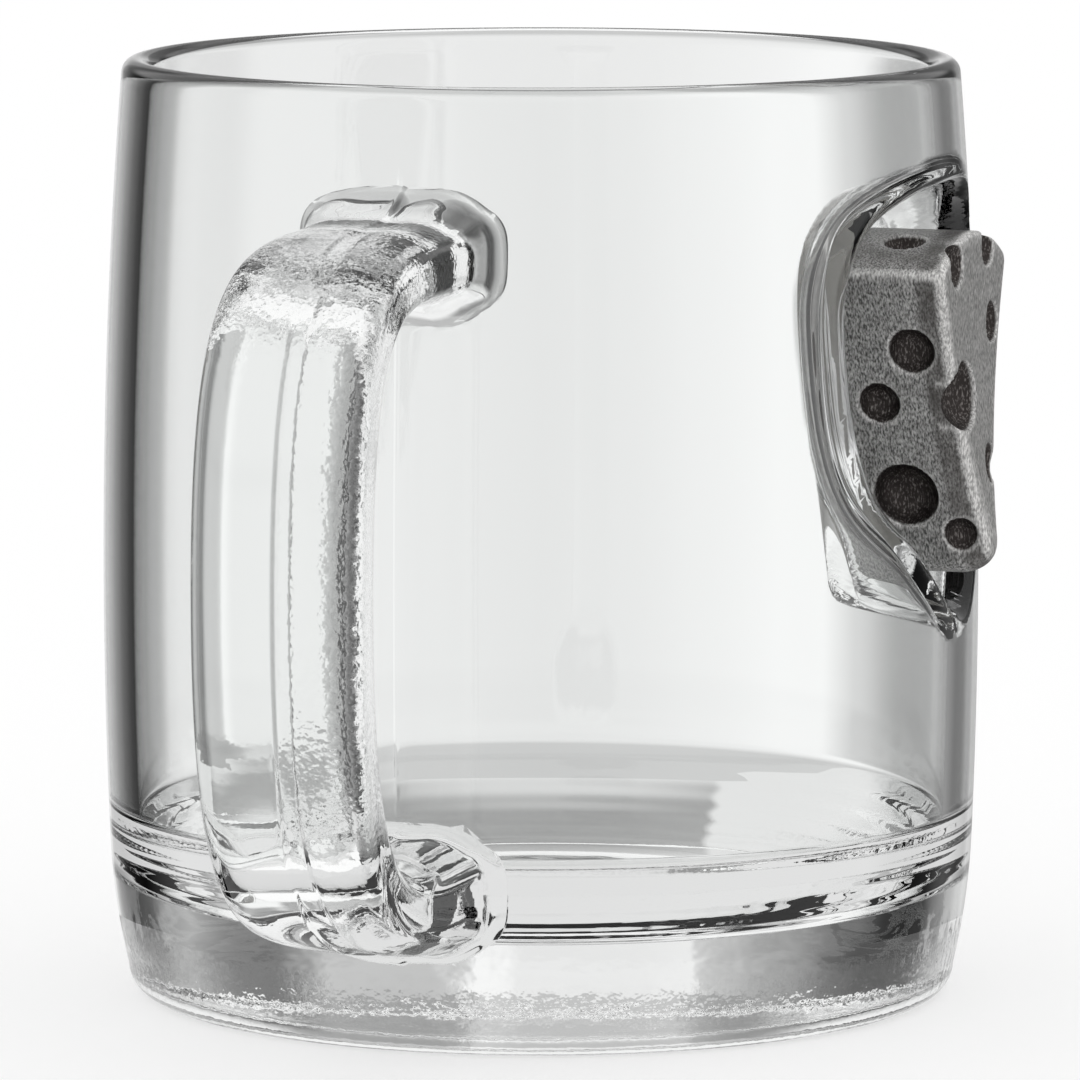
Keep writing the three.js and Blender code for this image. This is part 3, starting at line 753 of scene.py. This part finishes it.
def pewter_material():
    """Grey metal whose colours come from one grain, a stretched noise.

    A dark patina takes clouds, a darker rind and painted shade over it, the rubbing and painted highlights
    lay the rubbed metal over that, and the holes get a brown black with specks last. The grain also sets the
    roughness and a shallow bump.
    """
    material, tree, shader = new_material("cast_pewter")
    place = own_place(tree)
    streaks = {"Vector": place, "Rotation": (0.6, 0.3, 0), "Scale": (1, 1, 0.35)}
    grain = flecks(tree, node(tree, "ShaderNodeMapping", streaks).outputs["Vector"], GRAIN_SCALE, 4.0)
    pit, rub_and_highlight, dark_and_shade = [
        node(tree, "ShaderNodeAttribute", {}, attribute_name=name).outputs["Fac"]
        for name in ("pit", "wear_and_highlight", "darkening_and_shade")
    ]
    clouds = span(tree, flecks(tree, place, CLOUD_SCALE, 3.0), 0.4, 0.7, 0.0, CLOUD_SHARE, "LINEAR")
    # The darkening attribute carries the darker rind and painted shade; the rubbing attribute carries rubbing
    # and painted highlights.
    clouds_dark_and_shade = reckon(tree, "MULTIPLY_ADD", dark_and_shade, DARK_AND_SHADE_SHARE, clouds)
    colour = over(tree, clouds_dark_and_shade, toned(tree, grain, PATINA), GRIME_AND_SHADE)
    colour = over(tree, rub_and_highlight, colour, toned(tree, grain, RUBBED))
    colour = over(tree, span(tree, pit, *PIT_EDGE), colour, toned(tree, grain, PIT_SPECKS))
    bump = node(tree, "ShaderNodeBump", {"Strength": 0.6, "Distance": GRAIN_H * MM, "Height": grain})
    feed(tree, shader, {
        "Base Color": colour,
        "Metallic": 0.8,
        "Roughness": span(tree, grain, 0.3, 0.7, 0.55, 0.38, "LINEAR"),
        "Normal": bump.outputs["Normal"],
    })
    return material


casting.data.materials.append(pewter_material())
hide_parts("cheese_insert")
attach(casting, "root")

# Bond. A film of clear resin, poured between the casting's flat back and the seat in the hollow.
# It stays as modelled and only takes its finish here: a greyish cure with a cloudy gloss.
RESIN = (0.5, 0.49, 0.46, 1)
RESIN_CLOUDS = 300.0


def resin_material():
    """Dull resin whose roughness goes up and down with a noise."""
    material, tree, shader = new_material("clear_resin")
    clouds = flecks(tree, own_place(tree), RESIN_CLOUDS, 2.0)
    feed(tree, shader, {"Base Color": RESIN, "Roughness": span(tree, clouds, 0.0, 1.0, 0.22, 0.42, "LINEAR")})
    return material


bond = bpy.data.objects["adhesive_bed"]
bond.data.materials.clear()
bond.data.materials.append(resin_material())

# Stage. A white paper floor, a round tent of light and grey panels that only glass and metal see, a camera.
# White stands behind the mug, and dark strips beside it draw the edges of the glass.
VIEW_AZ = np.radians(-71.5)
VIEW_D = 911.2
VIEW_H = 163.1
VIEW_DIP = np.radians(7.328)
LENS = 300.8
SENSOR = 36.0
IMAGE = 1080
SHIFT = -1.04

away = np.array([-np.sin(VIEW_AZ), np.cos(VIEW_AZ), 0])

FLOOR_HALF = 6.0
PLATE_R = 62.0
PLATE_TONE = 0.75
# Painted shadow of the mug on the pale round: its tone, and where it starts and ends behind the mug and
# beside it, in mm.
SHADE_TONE = 0.27
SHADE_NEAR = (24.0, 40.0)
SHADE_FAR = (64.0, 48.0)
SHADE_EDGE = (20.0, 18.6)
PAPER_GLOW = 0.6

square = FLOOR_HALF * np.array([(-1, -1, 0), (1, -1, 0), (1, 1, 0), (-1, 1, 0)])
floor_mesh = bpy.data.meshes.new("floor")
floor_mesh.from_pydata(square.tolist(), [], [(0, 1, 2, 3)])
floor = bpy.data.objects.new("floor", floor_mesh)
bpy.context.scene.collection.objects.link(floor)


def paper_material():
    """White paper, seen from the camera as part paper with its shadow and part plain white.

    Light bent by glass or turned by metal sees only a pale round under the mug that glows at a fixed tone,
    with a painted shadow of the mug in smooth steps at its back, and past the round it goes on to the tent.
    """
    material, tree, shader = new_material("paper")
    feed(tree, shader, {"Base Color": (1, 1, 1, 1), "Roughness": 0.9, "Specular IOR Level": 0.0})
    place = own_place(tree)
    path = node(tree, "ShaderNodeLightPath", {}).outputs
    bent = reckon(tree, "MAXIMUM", path["Is Glossy Ray"], path["Is Transmission Ray"])
    beyond = reckon(tree, "GREATER_THAN", measured(tree, "LENGTH", place), PLATE_R * MM)
    back = measured(tree, "DOT_PRODUCT", place, tuple(away))
    aside = measured(tree, "DOT_PRODUCT", place, (away[1], -away[0], 0))
    # Painted shadow of the mug in the pale round, in smooth steps behind it and with a sharp edge to one
    # side.
    shade = reckon(tree, "MULTIPLY", between(tree, back, SHADE_NEAR), between(tree, back, SHADE_FAR))
    shade = reckon(tree, "MULTIPLY", shade, between(tree, aside, SHADE_EDGE))
    tone = span(tree, shade, 0.0, 1.0, PLATE_TONE, SHADE_TONE, "LINEAR")

    def mixed(share, below, above):
        """One finish laid over another by a share."""
        return node(tree, "ShaderNodeMixShader", {0: share, 1: below, 2: above}).outputs[0]

    white = node(tree, "ShaderNodeEmission", {"Color": (1, 1, 1, 1)}).outputs[0]
    plate = node(tree, "ShaderNodeEmission", {"Color": tone}).outputs[0]
    clear = node(tree, "ShaderNodeBsdfTransparent", {}).outputs[0]
    seen = mixed(reckon(tree, "MULTIPLY", path["Is Camera Ray"], PAPER_GLOW), shader.outputs[0], white)
    paper = mixed(reckon(tree, "MULTIPLY", beyond, bent), mixed(bent, seen, plate), clear)
    feed(tree, tree.nodes["Material Output"], {"Surface": paper})
    return material


floor_mesh.materials.append(paper_material())

TENT_R = 3.0
TENT_TOP_TONE = (0.95, 0.95, 0.95, 1)
# Heights on the tent, in metres, between which it goes over to its bright top, lights up beside the mug, and
# gets dimmer upwards and downwards.
TOP_Z = (1.3, 2.0)
SIDE_LIGHT_Z = (0.35, 0.9)
SIDE_LIGHT_TURN = (18 / 360, 32 / 360)
DIM_UP = (0.25, 0.6, 1.0, 0.62)
DIM_DOWN = (-0.9, -1.8, 1.0, 0.68)
# Panels of the tent: degrees to the right of what stands behind the mug, and brightness.
PANELS = [
    (-180, 0.6), (-140, 0.95), (-70, 0.95), (-64, 0.5), (-58, 0.27), (-51, 0.06), (-48, 0.02), (-36, 0.05),
    (-30, 0.13), (-25, 0.28), (-19, 0.42), (-14.2, 0.6), (-13.2, 0.88), (-8, 0.84), (2.4, 0.84), (3.4, 0.95),
    (5.8, 0.95), (6.5, 0.66), (9, 0.52), (20, 0.55), (23, 0.3), (26, 0.14), (33, 0.16), (37, 0.25),
    (43, 0.42), (48, 0.38), (54, 0.15), (64, 0.07), (74, 0.08), (84, 0.95), (140, 0.95), (180, 0.6),
]


def tent_piece():
    """An upright tube round the mug, with each point's turn from behind the mug kept as an attribute."""
    turn = np.linspace(-np.pi, np.pi, 361)
    start = np.arctan2(away[0], away[1])
    ring = TENT_R * np.stack([np.sin(start + turn), np.cos(start + turn), -np.ones_like(turn)], axis=1)
    points = np.concatenate([ring, ring * [1, 1, -1]])
    low = np.arange(len(turn) - 1)
    faces = np.stack([low, low + 1, low + 1 + len(turn), low + len(turn)], axis=1)
    mesh = bpy.data.meshes.new("tent")
    mesh.from_pydata(points.tolist(), [], faces.tolist())
    along = mesh.attributes.new("turn", "FLOAT", "POINT")
    along.data.foreach_set("value", np.tile((turn + np.pi) / (2 * np.pi), 2))
    piece = bpy.data.objects.new("tent", mesh)
    bpy.context.scene.collection.objects.link(piece)
    return piece


def tent_material():
    """Glowing cloth: a grey for each panel by its turn, dimmed by smooth steps of height, white on top."""
    material, tree, shader = new_material("tent_panels")
    material.cycles.emission_sampling = "NONE"
    tree.nodes.remove(shader)
    turned = node(tree, "ShaderNodeAttribute", {}, attribute_name="turn").outputs["Fac"]
    z = node(tree, "ShaderNodeSeparateXYZ", {0: own_place(tree)}).outputs["Z"]
    panels = node(tree, "ShaderNodeValToRGB", {"Fac": turned})
    stops = panels.color_ramp.elements
    for turn, _ in PANELS[1:-1]:
        stops.new((turn + 180) / 360)
    for stop, (turn, level) in zip(stops, PANELS):
        stop.position = (turn + 180) / 360
        stop.color = (level, level, level, 1)
    fading = reckon(tree, "MULTIPLY", span(tree, z, *DIM_UP), span(tree, z, *DIM_DOWN))
    dimming = {0: panels.outputs["Color"], "Scale": fading}
    dimmed = node(tree, "ShaderNodeVectorMath", dimming, operation="SCALE").outputs["Vector"]
    far_off = reckon(tree, "ABSOLUTE", reckon(tree, "SUBTRACT", turned, 0.5))
    side_light = reckon(tree, "MULTIPLY", span(tree, far_off, *SIDE_LIGHT_TURN), span(tree, z, *SIDE_LIGHT_Z))
    lit = reckon(tree, "MAXIMUM", span(tree, z, *TOP_Z), side_light)
    glow = node(tree, "ShaderNodeEmission", {"Color": over(tree, lit, dimmed, TENT_TOP_TONE)})
    feed(tree, tree.nodes["Material Output"], {"Surface": glow.outputs[0]})
    return material


tent = tent_piece()
tent.data.materials.append(tent_material())
tent.visible_camera = False
tent.visible_diffuse = False
tent.visible_shadow = False

world = bpy.data.worlds.new("studio")
world.use_nodes = True
world.node_tree.nodes["Background"].inputs["Color"].default_value = (1, 1, 1, 1)
bpy.context.scene.world = world
bpy.context.scene.view_settings.view_transform = "Standard"

camera = bpy.data.objects.new("camera", bpy.data.cameras.new("camera"))
camera.data.lens = LENS
camera.data.sensor_width = SENSOR
camera.data.clip_end = 50
camera.data.shift_x = SHIFT / IMAGE
camera.location = tuple(-away * VIEW_D * MM + np.array([0, 0, VIEW_H * MM]))
camera.rotation_euler = (np.pi / 2 - VIEW_DIP, 0, VIEW_AZ)
bpy.context.scene.collection.objects.link(camera)
bpy.context.scene.camera = camera
